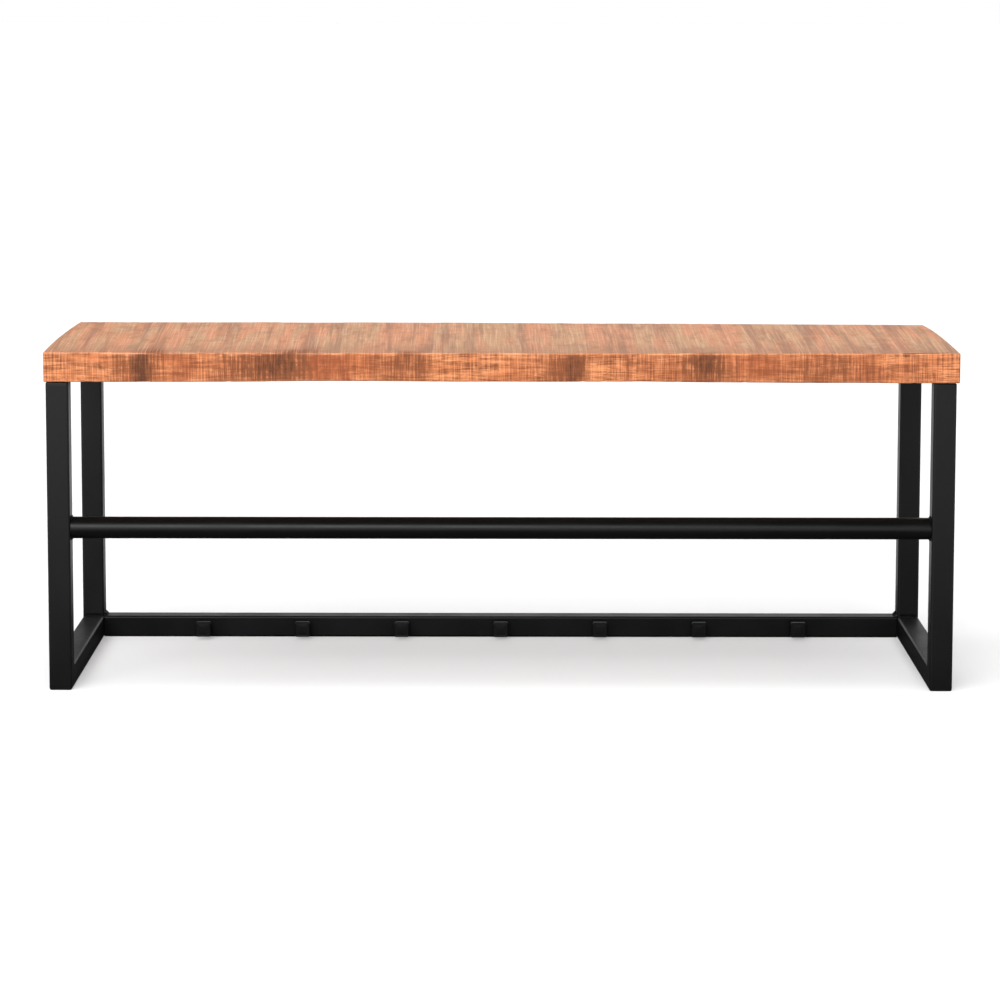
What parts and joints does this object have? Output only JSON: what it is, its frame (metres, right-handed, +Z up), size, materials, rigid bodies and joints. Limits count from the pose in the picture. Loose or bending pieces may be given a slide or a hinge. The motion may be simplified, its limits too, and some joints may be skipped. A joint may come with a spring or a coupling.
{
  "type": "coat rack with shelf",
  "caption": "Wide coat rack with a thick wooden shelf on an open black steel frame, a hanging rod in front and a low rail of square pegs at the back.",
  "frame": {"origin": "on the floor plane, under the middle of the rack's width and depth", "axes": "+X to the right as seen from the front, +Y from the front to the back, where the wall is, +Z up"},
  "size_m": [0.9998, 0.34, 0.373],
  "materials": {
    "sawn_wood": "rough-sawn and lightly oiled, orange brown with dark stains",
    "black_coat": "satin black powder coat",
    "zinc_screw": "zinc plated"
  },
  "bodies": {
    "root": {"shelf_slab": "sawn_wood", "front_post_left": "black_coat", "front_post_right": "black_coat", "rear_post_left": "black_coat", "rear_post_right": "black_coat", "front_post_cap_left": "black_coat", "front_post_cap_right": "black_coat", "rear_post_cap_left": "black_coat", "rear_post_cap_right": "black_coat", "side_rail_left": "black_coat", "side_rail_right": "black_coat", "slab_strap_left": "black_coat", "slab_strap_right": "black_coat", "rear_wall_strap": "black_coat", "hanging_rod": "black_coat", "rod_weld_left": "black_coat", "rod_weld_right": "black_coat", "hook_rail": "black_coat", "hook_rail_weld_left": "black_coat", "hook_rail_weld_right": "black_coat", "peg_pin_1": "black_coat", "peg_pin_2": "black_coat", "peg_pin_3": "black_coat", "peg_pin_4": "black_coat", "peg_pin_5": "black_coat", "peg_pin_6": "black_coat", "peg_pin_7": "black_coat", "peg_head_1": "black_coat", "peg_head_2": "black_coat", "peg_head_3": "black_coat", "peg_head_4": "black_coat", "peg_head_5": "black_coat", "peg_head_6": "black_coat", "peg_head_7": "black_coat", "slab_screws_left": "zinc_screw", "slab_screws_right": "zinc_screw"}
  },
  "joints": []
}
